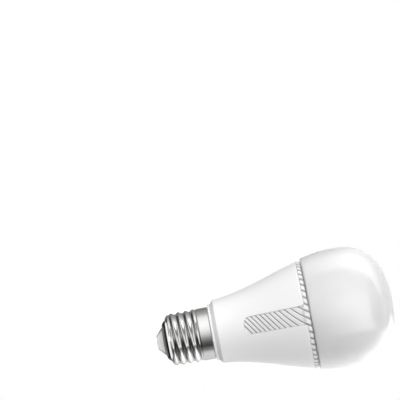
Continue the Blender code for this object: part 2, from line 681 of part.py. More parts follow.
def main():
    clear_scene()
    parts = new_collection(LAMP)
    cutters = new_collection("cutters")
    black_plastic = material("chip_black", (0.03, 0.03, 0.03), 0.45)
    green_board = material("board_green", (0.05, 0.22, 0.1), 0.5)
    screw_points = [(SCREW_CIRCLE, 0.0), (-SCREW_CIRCLE, 0.0)]

    build_dome(parts, material("opal_diffuser", (0.9, 0.9, 0.9), 0.2))
    build_collar(parts, cutters, material("patterned_white", (0.8, 0.8, 0.8), 0.35))
    build_housing(parts, cutters, material("white_housing", (0.87, 0.87, 0.87), 0.3))
    build_screw_shell(parts, material("nickel_shell", (0.72, 0.72, 0.72), 0.18, 1.0))
    glass = material("black_glass", (0.01, 0.01, 0.01), 0.1)
    plated = material("plated_contact", (0.5, 0.5, 0.48), 0.35, 1.0)
    solder = material("solder", (0.6, 0.6, 0.6), 0.4, 1.0)
    build_cap_end(parts, glass, plated, solder)
    aluminium = material("cup_aluminium", (0.75, 0.75, 0.76), 0.4, 1.0)
    liner_finish = material("liner_white", (0.8, 0.8, 0.78), 0.5)
    build_heat_sink(parts, cutters, aluminium, liner_finish, screw_points)
    light_finishes = {
        "pad": material("pad_grey", (0.5, 0.52, 0.55), 0.8),
        "board": material("board_white", (0.85, 0.85, 0.83), 0.4),
        "screw": material("screw_steel", (0.6, 0.6, 0.62), 0.3, 1.0),
        "silicone": material("silicone_white", (0.8, 0.8, 0.8), 0.6),
        "led": material("phosphor_yellow", (0.9, 0.75, 0.25), 0.4),
    }
    build_light_board(parts, cutters, light_finishes, screw_points)

    build_driver_board(parts, green_board)
    mains_finishes = {
        "fuse": material("fuse_green", (0.25, 0.4, 0.35), 0.5),
        "chip": black_plastic,
        "film": material("film_yellow", (0.75, 0.55, 0.08), 0.4),
        "can": material("sleeve_black", (0.04, 0.04, 0.05), 0.35),
        "live": material("wire_red", (0.6, 0.03, 0.03), 0.45),
        "neutral": material("wire_blue", (0.03, 0.12, 0.5), 0.45),
        "choke": material("choke_copper", (0.55, 0.25, 0.12), 0.35, 1.0),
    }
    build_mains_side(parts, mains_finishes)
    ferrite = material("ferrite_grey", (0.08, 0.08, 0.09), 0.6)
    tape = material("tape_yellow", (0.8, 0.65, 0.1), 0.5)
    build_transformer(parts, cutters, ferrite, tape)
    build_output_side(parts, mains_finishes)
    build_header(parts, cutters, material("header_black", (0.04, 0.04, 0.04), 0.5))
    radio_can = material("shield_tin", (0.7, 0.7, 0.7), 0.3, 1.0)
    build_radio(parts, material("radio_blue", (0.04, 0.12, 0.3), 0.5), radio_can)


main()
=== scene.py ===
"""Looks and stage of the smart light bulb, laid out as an add-on and run as a script.

Lengths are in metres. +Z runs along the lamp from cap to dome, and the collar's tab is on the -Y side.
"""

import math

import bmesh
import bpy
from mathutils import Matrix, Vector


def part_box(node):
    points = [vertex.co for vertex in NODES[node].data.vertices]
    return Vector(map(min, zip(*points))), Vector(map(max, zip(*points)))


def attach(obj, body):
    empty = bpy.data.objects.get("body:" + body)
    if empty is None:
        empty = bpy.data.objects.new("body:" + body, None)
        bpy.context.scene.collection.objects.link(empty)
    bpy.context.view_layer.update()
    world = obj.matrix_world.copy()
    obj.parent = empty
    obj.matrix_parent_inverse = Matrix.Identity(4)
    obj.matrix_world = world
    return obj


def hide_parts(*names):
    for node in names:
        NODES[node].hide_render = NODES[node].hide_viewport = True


bl_info = {
    "name": "Smart light bulb",
    "version": (1, 0, 0),
    "blender": (4, 5, 0),
    "location": "3D View > Sidebar > Lamp",
    "description": "Builds a smart LED lamp around its packed solids, with finishes and a plain studio",
    "category": "Object",
}

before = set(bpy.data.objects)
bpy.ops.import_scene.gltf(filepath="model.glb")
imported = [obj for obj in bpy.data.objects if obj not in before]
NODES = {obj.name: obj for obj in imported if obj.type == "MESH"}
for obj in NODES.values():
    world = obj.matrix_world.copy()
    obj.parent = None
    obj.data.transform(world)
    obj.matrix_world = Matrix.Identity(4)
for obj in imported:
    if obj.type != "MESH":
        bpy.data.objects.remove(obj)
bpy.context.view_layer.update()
MM = 0.001


def low(node, axis="z"):
    return getattr(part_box(node)[0], axis)


def high(node, axis="z"):
    return getattr(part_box(node)[1], axis)


GAP = 0.3 * MM
SEAM = 0.06 * MM
WELD = 0.001 * MM
TURN = 2 * math.pi

# Screw cap.
THREAD_START = 7.0 * MM
THREAD_END = 21.3 * MM
THREAD_FADE = 1.2 * MM
CAP_COLLAR_RADIUS = 12.9 * MM
SHELL_WALL = 0.4 * MM
CONTACT_FACE_RADIUS = 3.1 * MM
CONTACT_WALL = 0.8 * MM
WIRE_BORE = 2.5 * MM
SHELL_EDGE = 0.12 * MM
STEP_TOP = 0.75 * MM
STEP_BOTTOM = 0.15 * MM
STEP_ROUND = 0.08 * MM
FOOT_SHOULDER = (0.6 * MM, 0.8 * MM)
FOOT_OVERLAP = 0.6 * MM
FOOT_RUN = 0.2 * MM
BULGE_HEIGHT = 2.7 * MM
CONE_START = CONTACT_FACE_RADIUS + 0.5 * MM
CONE_STEP = 1.75 * MM
CONTACT_RIM = 1.1 * MM

# Housing.
WAIST = ((15.75, 30.6), (16.6, 45.0), (23.6, 62.0), (26.55, 74.1))
FLANGE_BOTTOM = 27.6 * MM
FLANGE_RADIUS = 13.8 * MM
FLANGE_LIP = 1.0 * MM
HOUSING_WALL = 1.8 * MM
NECK_RADIUS = 11.3 * MM
NECK_SHOULDER_RADIUS = 12.2 * MM
NECK_SHOULDER = 22.0 * MM
NECK_BORE = 10.0 * MM
NECK_MOUTH = 32.3 * MM
NOTCH_TOP = 11.0 * MM
SHOULDER_DROP = 0.7 * MM
WAIST_CORNER = 0.35 * MM
LIP_CORNER = 0.12 * MM
FLANGE_CORNER = 0.15 * MM
SLOT_EDGE_ROUND = 0.16 * MM
CORNER_ZONE = 5 * MM
SLOT_REACH = 9 * MM
CORNER_REACH = 6 * MM
ANGLE_SLACK = 0.001
SKIN_SLACK = 0.02 * MM

# Patterned collar.
RING_BORE = 24.1 * MM
RING_CONE = 0.15 * MM
TAB_SINK = 0.4 * MM
TAB_WALL = 1.1 * MM
TAB_END_HALF_WIDTH = 4.15 * MM
TAB_RING_HALF_WIDTH = 4.65 * MM
TAB_CORNER = 3.0 * MM
TAB_FILLET = 0.8 * MM
EDGE_ROUND = 0.14 * MM
BORE_SLACK = 0.05 * MM
CANT_GAIN = 1.6
RING_COLUMNS = 1152
RING_ROWS = 14
TAB_COLUMNS = 78
TAB_ROWS = 220

# The collar's grooves. Spacings are in millimetres along the axis for one groove.
PATTERN_START = 0.1 * MM
PATTERN_OFFSET = 0.40
FAR_SPACING = 2.15
NEAR_SPACING = 4.6
SPACING_REACH = 6.4
TAB_LINE_PITCH = 3.1 * MM
RING_DASHES = 48
GROOVE_SOFTNESS = 1.35
DASH_LIGHTENING = 0.3
# The ring's colour is darkened in a band under the dome's rim. This is painted shade for the dome's overhang,
# and it is kept in the same mesh attribute as the grooves.
PAINTED_SEAM_SHADE = 0.75
PAINTED_SEAM_SHADE_REACH = 1.3
PAINTED_SEAM_SHADE_WIDTH = 0.3 * MM
RING_BLEND = 1.6 * MM

# Dome.
DOME_RIM_RADIUS = 27.85 * MM
DOME_WIDEST = 93.0 * MM
DOME_POWER = 2.4
DOME_WALL = 1.5 * MM
SKIRT_RADIUS = 23.8 * MM
SKIRT_BORE = 22.5 * MM
SKIRT_CHAMFER = 0.3 * MM
SKIRT_FILLET = 1.6 * MM
DOME_RIM_HEIGHT = 0.6 * MM
DOME_RIM_LEDGE = 0.45 * MM
DOME_RIM_ROUND = (0.13 * MM, 0.14 * MM)
ROUND_STEPS = 160
CAP_END_STEPS = 128
DOME_IOR = 2.0
DOME_SUBSURFACE = 0.45
DOME_SCATTER = 10 * MM

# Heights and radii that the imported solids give.
DOME_TOP = high("diffuser_dome")
DOME_RADIUS = high("diffuser_dome", "x")
SKIRT_BOTTOM = low("diffuser_dome")
RING_TOP = high("pattern_collar")
RING_RADIUS = high("pattern_collar", "x")
TAB_BOTTOM = low("pattern_collar")
HOUSING_TOP = high("outer_housing")
NECK_BOTTOM = low("outer_housing")
SHELL_TOP = high("screw_shell")
SHELL_BOTTOM = low("screw_shell")
CONTACT_RADIUS = high("centre_contact", "x")
INSULATOR_TOP = high("cap_insulator")
INSULATOR_BOTTOM = low("cap_insulator")
INSULATOR_RADIUS = high("cap_insulator", "x")
RING_BOTTOM = HOUSING_TOP + GAP
HOUSING_RIM = RING_BOTTOM - SEAM
DOME_BOTTOM = RING_TOP + GAP


# ---- Meshes -------------------------------------------------------------------------------------


def placed(name, cage, finish):
    """The object of a finished bmesh, at the origin, with its finish."""
    mesh = bpy.data.meshes.new(name)
    cage.normal_update()
    cage.to_mesh(mesh)
    cage.free()
    mesh.materials.append(finish)
    obj = bpy.data.objects.new(name, mesh)
    bpy.context.scene.collection.objects.link(obj)
    return obj


def piece(name, cage, finish, replaces, crease=35):
    """Makes the object of a finished bmesh, hangs it on the root body and hides the parts that it replaces.
    """
    obj = placed(name, cage, finish)
    obj.data.shade_smooth()
    obj.data.set_sharp_from_angle(angle=math.radians(crease))
    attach(obj, "root")
    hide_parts(*replaces)


def eased(points, steps):
    """Rounds the corners of an outline of (radius, height, corner) points; a corner of 0 stays sharp."""
    outline = []
    for index, (radius, height, corner) in enumerate(points):
        here = Vector((radius, height))
        if not corner:
            outline.append(tuple(here))
            continue
        before = Vector(points[index - 1][:2]) - here
        after = Vector(points[(index + 1) % len(points)][:2]) - here
        reach = corner / math.tan(before.angle(after) / 2)
        start = here + before.normalized() * min(reach, before.length / 2)
        end = here + after.normalized() * min(reach, after.length / 2)
        for step in range(steps + 1):
            share = step / steps
            outline.append(tuple(start.lerp(here, share).lerp(here.lerp(end, share), share)))
    return outline


def sweep(cage, points, angle, steps, closed=False):
    """Sweeps a line of points, or a closed loop of them, about the Z axis."""
    line = [cage.verts.new(point) for point in points]
    ends = line[1:] + line[:1] if closed else line[1:]
    edges = [cage.edges.new(pair) for pair in zip(line, ends)]
    bmesh.ops.spin(
        cage, geom=line + edges, cent=(0, 0, 0), axis=(0, 0, 1), dvec=(0, 0, 0),
        angle=angle, steps=steps, use_merge=angle == TURN,
    )


def spun(outline, steps, closed=True):
    """A body of revolution about the Z axis, from (radius, height) points."""
    cage = bmesh.new()
    sweep(cage, [(radius, 0.0, height) for radius, height in outline], TURN, steps, closed)
    bmesh.ops.remove_doubles(cage, verts=cage.verts, dist=WELD)
    bmesh.ops.recalc_face_normals(cage, faces=cage.faces)
    return cage


def spread(first, last, count):
    return [first + (last - first) * index / count for index in range(count + 1)]


def clamp(value, least=0.0, most=1.0):
    return min(max(value, least), most)


def smooth(value):
    value = clamp(value)
    return value * value * (3 - 2 * value)


def bevelled(cage, edges, width, segments=2):
    bmesh.ops.bevel(
        cage, geom=edges, offset=width, offset_type="OFFSET", affect="EDGES",
        segments=segments, profile=0.5, material=-1, clamp_overlap=True,
    )


def waist_radius(height):
    """The housing's outer radius at a height on its flare."""

    def on_curve(axis):
        weights = ((1 - share) ** 3, 3 * share * (1 - share) ** 2, 3 * share**2 * (1 - share), share**3)
        return sum(weight * point[axis] for weight, point in zip(weights, WAIST))

    share = clamp((height / MM - WAIST[0][1]) / (WAIST[-1][1] - WAIST[0][1]))
    for _ in range(8):
        slopes = ((1 - share) ** 2, 2 * share * (1 - share), share**2)
        slope = 3 * sum(w * (b[1] - a[1]) for w, a, b in zip(slopes, WAIST, WAIST[1:]))
        share = clamp(share + (height / MM - on_curve(1)) / slope)
    return on_curve(0) * MM


def dome_line(inset, above, below):
    """The dome's (radius, height) points from its top to its rim, drawn in by inset."""
    rise = DOME_TOP - DOME_WIDEST - inset
    reach = DOME_RADIUS - inset
    points = [(0.0, DOME_WIDEST + rise)]
    for index in range(1, above + 1):
        angle = math.pi / 2 * (1 - index / above)
        radius = reach * math.cos(angle) ** (2 / DOME_POWER)
        points.append((radius, DOME_WIDEST + rise * math.sin(angle) ** (2 / DOME_POWER)))
    depth = DOME_WIDEST - DOME_BOTTOM
    for index in range(1, below + 1):
        drop = index / below * (1 - DOME_RIM_HEIGHT / depth)
        radius = DOME_RADIUS - (DOME_RADIUS - DOME_RIM_RADIUS) * drop**2 - inset
        points.append((radius, DOME_WIDEST - depth * drop))
    return points


def tab_half_width(height, clearance=0.0):
    """Half the tab's width: a slight taper, and a fillet where it meets the ring."""
    share = (height - TAB_BOTTOM) / (RING_BOTTOM - TAB_BOTTOM)
    width = TAB_END_HALF_WIDTH + (TAB_RING_HALF_WIDTH - TAB_END_HALF_WIDTH) * share
    into = 1 - clamp((RING_BOTTOM - height) / TAB_FILLET)
    return width + TAB_FILLET * (1 - math.sqrt(1 - into**2)) + clearance


def corner_shift(inward, upward, corner):
    """How far, sideways and up, a point near a square corner moves so that the corner becomes round."""
    across = clamp(inward / corner)
    along = clamp(upward / corner)

    def on_side(share):
        turn = math.pi / 4 * (1 + share)
        return Vector((corner * (math.sin(turn) - 1), corner * (1 - math.cos(turn) - share)))

    def on_end(share):
        turn = math.pi / 4 * (1 - share)
        return Vector((corner * (share + math.sin(turn) - 1), corner * (1 - math.cos(turn))))

    shift = on_side(along) * (1 - across) + on_end(across) * (1 - along)
    shift -= on_side(0.0) * (1 - across) * (1 - along)
    outside = math.hypot(min(inward, 0.0), min(upward, 0.0))
    return shift * clamp(1 - outside / CORNER_REACH) ** 2


def front_angle(point):
    """The angle about Z from the tab's side, positive towards +X."""
    return math.atan2(point.x, -point.y)


# ---- Pieces -------------------------------------------------------------------------------------


def build_dome(finish):
    inner = dome_line(DOME_WALL, above=40, below=8)
    outline = [
        *dome_line(0.0, above=72, below=18),
        (DOME_RIM_RADIUS - DOME_RIM_ROUND[0], DOME_BOTTOM + DOME_RIM_ROUND[1]),
        (DOME_RIM_RADIUS - DOME_RIM_LEDGE, DOME_BOTTOM),
        (SKIRT_RADIUS, DOME_BOTTOM),
        (SKIRT_RADIUS, SKIRT_BOTTOM + SKIRT_CHAMFER),
        (SKIRT_RADIUS - SKIRT_CHAMFER, SKIRT_BOTTOM),
        (SKIRT_BORE, SKIRT_BOTTOM),
        (SKIRT_BORE, DOME_BOTTOM),
        (SKIRT_BORE + SKIRT_FILLET, DOME_BOTTOM + SKIRT_FILLET),
        *reversed(inner),
    ]
    cage = spun(outline, ROUND_STEPS, closed=False)
    piece("opal_dome", cage, finish, replaces=["diffuser_dome"])


def open_slot(cage, removed, is_rim):
    """Cuts a slot through a wall: takes its faces out of both skins and walls the opening between them."""
    before = {edge for edge in cage.edges if edge.is_boundary}
    bmesh.ops.delete(cage, geom=removed, context="FACES")
    rim = [edge for edge in cage.edges if edge.is_boundary and edge not in before and not is_rim(edge)]
    bmesh.ops.bridge_loops(cage, edges=rim)


def housing_outline():
    slot_bottom = TAB_BOTTOM - SEAM
    upper = spread(HOUSING_RIM, slot_bottom + CORNER_ZONE, 30)
    corner_rows = spread(slot_bottom + CORNER_ZONE, slot_bottom, 9)[1:]
    lower = spread(slot_bottom, WAIST[0][1] * MM + 0.4 * MM, 16)[1:]
    outer = [(waist_radius(z), z) for z in upper + corner_rows + lower]
    flange = eased([
        (*outer[-1], 0.0),
        (WAIST[0][0] * MM, WAIST[0][1] * MM, WAIST_CORNER),
        (FLANGE_RADIUS, FLANGE_BOTTOM + FLANGE_LIP, LIP_CORNER),
        (FLANGE_RADIUS, FLANGE_BOTTOM, FLANGE_CORNER),
        (NECK_SHOULDER_RADIUS, FLANGE_BOTTOM, 0.0),
    ], 3)[1:]
    neck = [
        (NECK_SHOULDER_RADIUS, NECK_SHOULDER),
        (NECK_RADIUS, NECK_SHOULDER - SHOULDER_DROP),
        (NECK_RADIUS, NOTCH_TOP),
        (NECK_RADIUS, NECK_BOTTOM),
        (NECK_BORE, NECK_BOTTOM),
        (NECK_BORE, NOTCH_TOP),
        (NECK_BORE, FLANGE_BOTTOM + FLANGE_LIP),
    ]
    inner_rows = spread(NECK_MOUTH, slot_bottom, 8)[:-1] + corner_rows[::-1] + upper[::-1]
    inner = [(waist_radius(z) - HOUSING_WALL, z) for z in inner_rows]
    return outer + flange + neck + inner


def build_housing(finish):
    columns = 216
    slot_column = 8
    notch_column = 4
    column_angle = TURN / columns
    base_angle = slot_column * column_angle
    far_angle = math.radians(55)
    slot_bottom = TAB_BOTTOM - SEAM
    cage = spun(housing_outline(), columns)

    def in_slot(face):
        return all(
            abs(front_angle(v.co)) < base_angle + ANGLE_SLACK and v.co.z > slot_bottom - WELD
            for v in face.verts
        )

    def in_notch(face):
        reach = notch_column * column_angle + ANGLE_SLACK
        return all(
            abs(math.atan2(v.co.y, -v.co.x)) < reach and v.co.z < NOTCH_TOP + WELD for v in face.verts
        )

    def on_top(edge):
        return all(v.co.z > HOUSING_RIM - WELD for v in edge.verts)

    def on_bottom(edge):
        return all(v.co.z < NECK_BOTTOM + WELD for v in edge.verts)

    open_slot(cage, [face for face in cage.faces if in_slot(face)], on_top)
    open_slot(cage, [face for face in cage.faces if in_notch(face)], on_bottom)

    for vert in cage.verts:
        x, y, height = vert.co
        angle = front_angle(vert.co)
        if height < slot_bottom - SLOT_REACH or abs(angle) > far_angle:
            continue
        radius = math.hypot(x, y)
        half = tab_half_width(max(height, slot_bottom), SEAM)
        side = math.asin(half / radius)
        if abs(angle) <= base_angle:
            moved = abs(angle) * side / base_angle
        else:
            moved = side + (abs(angle) - base_angle) * (far_angle - side) / (far_angle - base_angle)
        share = smooth(1 - (slot_bottom - height) / SLOT_REACH)
        moved = abs(angle) + (moved - abs(angle)) * share
        across = radius * math.sin(moved)
        shift = corner_shift(half - across, height - slot_bottom, TAB_CORNER + SEAM)
        across += shift.x
        radius += waist_radius(height + shift.y) - waist_radius(height)
        vert.co = (math.copysign(across, x), -math.sqrt(radius**2 - across**2), height + shift.y)

    bmesh.ops.recalc_face_normals(cage, faces=cage.faces)

    def on_outside(vert):
        return abs(math.hypot(vert.co.x, vert.co.y) - waist_radius(vert.co.z)) < SKIN_SLACK

    edges = [
        edge for edge in cage.edges
        if edge.is_manifold and edge.calc_face_angle() > math.radians(55)
        and all(on_outside(vert) and vert.co.z > slot_bottom - MM for vert in edge.verts)
    ]
    bevelled(cage, edges, SLOT_EDGE_ROUND)
    piece("flared_housing", cage, finish, replaces=["outer_housing"])


def line_distance(angle, height, radius):
    """How far a point on the collar lies from the nearest groove's middle, and the share to the next."""
    along = (RING_TOP + PATTERN_START - height) / MM
    decay = NEAR_SPACING * math.exp(-along / SPACING_REACH)
    count = (along + SPACING_REACH * math.log(FAR_SPACING + decay)) / FAR_SPACING
    per_turn = RING_DASHES / TURN
    if height < RING_BOTTOM:
        share = (RING_BOTTOM - height) / (RING_BOTTOM - TAB_BOTTOM)
        ring_pitch = (RING_RADIUS - RING_CONE) / per_turn
        per_turn = radius / (ring_pitch + (TAB_LINE_PITCH - ring_pitch) * share)
    phase = angle * per_turn + count - PATTERN_OFFSET
    off = abs(phase - round(phase))
    steepness = math.hypot(per_turn / radius, 1 / (FAR_SPACING + decay) / MM)
    return off / steepness, 2 * off


def round_drop(distance):
    """How far the surface falls away near an outside edge."""
    into = EDGE_ROUND - clamp(distance, 0.0, EDGE_ROUND)
    return EDGE_ROUND - math.sqrt(EDGE_ROUND**2 - into**2)


def collar_skin():
    """The collar's outer skin: a fine band all round, and a fine strip below it for the tab."""
    cage = bmesh.new()
    span = TURN * TAB_COLUMNS / RING_COLUMNS

    def column(heights, start):
        radius = RING_RADIUS - RING_CONE
        return [(radius * math.sin(start), -radius * math.cos(start), z) for z in heights]

    sweep(cage, column(spread(RING_TOP, RING_BOTTOM, RING_ROWS), 0.0), TURN, RING_COLUMNS)
    sweep(cage, column(spread(RING_BOTTOM, TAB_BOTTOM, TAB_ROWS), -span / 2), span, TAB_COLUMNS)
    bmesh.ops.remove_doubles(cage, verts=cage.verts, dist=WELD)
    bmesh.ops.recalc_face_normals(cage, faces=cage.faces)
    middle = cage.faces[:][0]
    if middle.normal.dot(Vector((*middle.calc_center_median().xy, 0.0))) < 0:
        bmesh.ops.reverse_faces(cage, faces=cage.faces)
    return cage, span / 2


def build_collar(finish, pattern):
    cage, span = collar_skin()
    groove = cage.verts.layers.float.new("groove")

    def tab_radius(height):
        sunk = waist_radius(height) - TAB_SINK
        rise = smooth(1 - (RING_BOTTOM - height) / RING_BLEND)
        return sunk + (RING_RADIUS - RING_CONE - sunk) * rise

    for vert in cage.verts:
        angle = front_angle(vert.co)
        height = vert.co.z
        if height > RING_BOTTOM - WELD:
            rise = (height - RING_BOTTOM) / (RING_TOP - RING_BOTTOM)
            cant = pattern.ring_cant * smooth(rise * CANT_GAIN - (CANT_GAIN - 1))
            radius = RING_RADIUS - RING_CONE - cant
            vert.co = (radius * math.sin(angle), -radius * math.cos(angle), height)
            continue
        share = angle / span
        half = tab_half_width(height)
        shift = corner_shift(half * (1 - abs(share)), height - TAB_BOTTOM, TAB_CORNER)
        across = half * share + math.copysign(shift.x, share)
        height += shift.y
        vert.co = (across, -math.sqrt(tab_radius(height) ** 2 - across**2), height)

    cage.normal_update()
    facing = {tuple(vert.co): vert.normal.copy() for vert in cage.verts}
    bmesh.ops.solidify(cage, geom=cage.faces[:], thickness=TAB_WALL)
    outer = [vert for vert in cage.verts if tuple(vert.co) in facing]
    normals = [facing[tuple(vert.co)] for vert in outer]
    skin = set(outer)
    for vert in cage.verts:
        if vert in skin or vert.co.z < RING_BOTTOM - BORE_SLACK:
            continue
        flat = vert.co.xy.normalized() * RING_BORE
        vert.co = (*flat, clamp(vert.co.z, RING_BOTTOM, RING_TOP))

    def edge_distance(point, angle):
        if point.z > RING_BOTTOM - WELD:
            aside = max(span - abs(angle), 0.0) * RING_RADIUS
            return min(RING_TOP - point.z, math.hypot(aside, point.z - RING_BOTTOM))
        side = tab_half_width(point.z) - abs(point.x)
        rise = point.z - TAB_BOTTOM
        if side < TAB_CORNER and rise < TAB_CORNER:
            return TAB_CORNER - math.hypot(TAB_CORNER - side, TAB_CORNER - rise)
        return min(side, rise)

    for vert, normal in zip(outer, normals):
        angle = front_angle(vert.co)
        radius = math.hypot(vert.co.x, vert.co.y)
        distance, between = line_distance(angle, vert.co.z, radius)
        on_ring = smooth((vert.co.z - RING_BOTTOM) / MM + 0.5)
        width = pattern.line_width + (pattern.dash_width - pattern.line_width) * on_ring
        cut = smooth(GROOVE_SOFTNESS - distance / (width / 2))
        bulge = pattern.band_height * (1 - (1 - between) ** 2)
        edge = edge_distance(vert.co, angle)
        # Painted shade: the ring's colour darkens towards the line colour under the dome's rim, where the
        # dome's overhang would shade it.
        shade = PAINTED_SEAM_SHADE * clamp(PAINTED_SEAM_SHADE_REACH - (RING_TOP - vert.co.z) / PAINTED_SEAM_SHADE_WIDTH)
        vert[groove] = max(cut * (1 - DASH_LIGHTENING * on_ring), shade)
        rise = (bulge - pattern.line_depth * cut) * clamp(edge / EDGE_ROUND) - round_drop(edge)
        vert.co += normal * rise
    piece("pattern_ring_and_tab", cage, finish, replaces=["pattern_collar"], crease=50)


def build_screw_shell(finish, cap):
    mean = (cap.crest_radius + cap.root_radius) / 2
    depth = (cap.crest_radius - cap.root_radius) / 2
    rows = spread(THREAD_END, THREAD_START, 110)
    outer = [
        (CAP_COLLAR_RADIUS - SHELL_EDGE, SHELL_TOP),
        (CAP_COLLAR_RADIUS, SHELL_TOP - SHELL_EDGE),
        (CAP_COLLAR_RADIUS, THREAD_END + STEP_TOP),
        (CAP_COLLAR_RADIUS - STEP_ROUND, THREAD_END + (STEP_TOP + STEP_BOTTOM) / 2),
        (mean + STEP_ROUND, THREAD_END + STEP_BOTTOM),
        *((mean, height) for height in rows),
    ]
    foot_radius = INSULATOR_RADIUS + FOOT_OVERLAP
    foot_in, foot_up = FOOT_SHOULDER
    foot = eased([
        (mean, THREAD_START - FOOT_RUN, 0.0),
        (mean - foot_in, SHELL_BOTTOM + foot_up, 0.5 * MM),
        (foot_radius, SHELL_BOTTOM, 0.25 * MM),
        (foot_radius - 0.25 * MM, SHELL_BOTTOM + SHELL_WALL, 0.0),
    ], 5)
    inner = [(radius - SHELL_WALL, height) for radius, height in outer[:-1]]
    inner.append((mean - SHELL_WALL - 0.3 * MM, THREAD_START - FOOT_RUN))
    cage = spun(outer + foot[1:] + inner[::-1], ROUND_STEPS)
    for vert in cage.verts:
        x, y, height = vert.co
        fade = clamp(min(height - THREAD_START, THREAD_END - height) / THREAD_FADE)
        wave = math.cos(TURN * height / cap.thread_pitch - math.atan2(y, x))
        radius = math.hypot(x, y)
        scale = (radius + depth * smooth(fade) * wave) / radius
        vert.co = (x * scale, y * scale, height)
    piece("threaded_shell", cage, finish, replaces=["screw_shell"])


def build_cap_end(glass, plated):
    bulge = []
    for turn in spread(0.0, math.pi / 2, 16):
        radius = CONTACT_RADIUS + (INSULATOR_RADIUS - CONTACT_RADIUS) * math.cos(turn)
        bulge.append((radius, INSULATOR_BOTTOM + BULGE_HEIGHT * (1 - math.sin(turn))))
    outline = [
        (INSULATOR_RADIUS, INSULATOR_TOP),
        *bulge,
        (WIRE_BORE, INSULATOR_BOTTOM),
        (WIRE_BORE, INSULATOR_TOP),
    ]
    piece("cap_glass", spun(outline, CAP_END_STEPS), glass, replaces=["cap_insulator"])

    rim = INSULATOR_BOTTOM - SEAM
    face = eased([
        (CONTACT_RADIUS - CONTACT_RIM, rim, 0.0),
        (CONTACT_RADIUS, rim, 0.12 * MM),
        (CONE_START + CONE_STEP, CONE_STEP, 0.6 * MM),
        (CONE_START, 0.3 * MM, 0.3 * MM),
        (CONTACT_FACE_RADIUS, 0.0, 0.3 * MM),
        (0.0, 0.0, 0.0),
    ], 6)
    inside = [(0.0, CONTACT_WALL), (CONTACT_FACE_RADIUS - 0.3 * MM, CONTACT_WALL)]
    cage = spun(inside + face, CAP_END_STEPS, closed=False)
    piece("contact_eyelet", cage, plated, replaces=["centre_contact"])


# ---- Finishes -----------------------------------------------------------------------------------


def add(tree, kind, **settings):
    """A new shader node; settings named like its inputs fill them, and the others are its own properties."""
    node = tree.nodes.new(kind)
    for name, value in settings.items():
        label = name.replace("_", " ")
        if hasattr(node, name):
            setattr(node, name, value)
        else:
            node.inputs[label].default_value = value
    return node


def join(tree, source, output, target, name):
    tree.links.new(source.outputs[output], target.inputs[name])


def feed(tree, socket, value):
    """Fills a socket with a number or a colour, or links another node's socket to it."""
    if isinstance(value, bpy.types.NodeSocket):
        tree.links.new(value, socket)
    else:
        socket.default_value = value


def calc(tree, operation, *values):
    """The result of a maths node whose inputs are numbers or sockets."""
    node = add(tree, "ShaderNodeMath", operation=operation)
    for socket, value in zip(node.inputs, values):
        feed(tree, socket, value)
    return node.outputs[0]


def mixed(tree, factor, first, second, blend="MIX"):
    """The result of a colour mix whose inputs are values or sockets."""
    node = add(tree, "ShaderNodeMix", data_type="RGBA", blend_type=blend)
    for index, value in ((0, factor), (6, first), (7, second)):
        feed(tree, node.inputs[index], value)
    return node.outputs[2]


def new_group(name, inputs, outputs):
    """An empty shader node group with sockets given as name: (kind, default)."""
    tree = bpy.data.node_groups.new(name, "ShaderNodeTree")
    for label, (kind, default) in inputs.items():
        socket = tree.interface.new_socket(label, in_out="INPUT", socket_type=kind)
        socket.default_value = default
    for label, kind in outputs.items():
        tree.interface.new_socket(label, in_out="OUTPUT", socket_type=kind)
    return tree, add(tree, "NodeGroupInput"), add(tree, "NodeGroupOutput")


FLOAT = "NodeSocketFloat"
COLOUR = "NodeSocketColor"


def blend_group(name, build_pattern):
    """A group that blends two colours and two roughnesses by a pattern, and gives the pattern as a height."""
    inputs = {
        "Colour": (COLOUR, (0.8, 0.8, 0.8, 1.0)),
        "Second Colour": (COLOUR, (0.7, 0.7, 0.7, 1.0)),
        "Roughness": (FLOAT, 0.3),
        "Second Roughness": (FLOAT, 0.4),
        "Grain": (FLOAT, 1500.0),
    }
    outputs = {"Colour": COLOUR, "Roughness": FLOAT, "Height": FLOAT}
    tree, entry, leave = new_group(name, inputs, outputs)
    place = add(tree, "ShaderNodeTexCoord")
    pattern = build_pattern(tree, entry, place)
    blend = mixed(tree, pattern, entry.outputs["Colour"], entry.outputs["Second Colour"])
    tree.links.new(blend, leave.inputs["Colour"])
    rough = add(tree, "ShaderNodeMix", data_type="FLOAT")
    tree.links.new(pattern, rough.inputs[0])
    tree.links.new(entry.outputs["Roughness"], rough.inputs[2])
    tree.links.new(entry.outputs["Second Roughness"], rough.inputs[3])
    tree.links.new(rough.outputs[0], leave.inputs["Roughness"])
    tree.links.new(pattern, leave.inputs["Height"])
    return tree


def noise(tree, place, scale, detail, roughness=0.5):
    """The value of a noise texture; place and scale are sockets, or scale is a number."""
    node = add(tree, "ShaderNodeTexNoise", Detail=detail, Roughness=roughness)
    tree.links.new(place, node.inputs["Vector"])
    feed(tree, node.inputs["Scale"], scale)
    return node.outputs["Fac"]


def grain_pattern(tree, entry, place):
    """Fine moulded grain over slow, faint clouding."""
    fine = noise(tree, place.outputs["Object"], entry.outputs["Grain"], 3.0, 0.6)
    slow = noise(tree, place.outputs["Object"], 60.0, 2.0)
    return calc(tree, "MULTIPLY_ADD", fine, 0.5, calc(tree, "MULTIPLY", slow, 0.5))


def turned_pattern(tree, entry, place):
    """Fine lines round the Z axis, as spinning or drawing leaves on metal."""
    split = add(tree, "ShaderNodeSeparateXYZ")
    join(tree, place, "Object", split, "Vector")
    x, y = split.outputs["X"], split.outputs["Y"]
    radius = calc(tree, "SQRT", calc(tree, "MULTIPLY_ADD", y, y, calc(tree, "MULTIPLY", x, x)))
    lie = add(tree, "ShaderNodeCombineXYZ")
    tree.links.new(radius, lie.inputs["X"])
    join(tree, split, "Z", lie, "Z")
    lines = noise(tree, lie.outputs["Vector"], entry.outputs["Grain"], 4.0, 0.7)
    smudge = noise(tree, place.outputs["Object"], 120.0, 2.0)
    return calc(tree, "MULTIPLY_ADD", lines, 0.7, calc(tree, "MULTIPLY", smudge, 0.3))


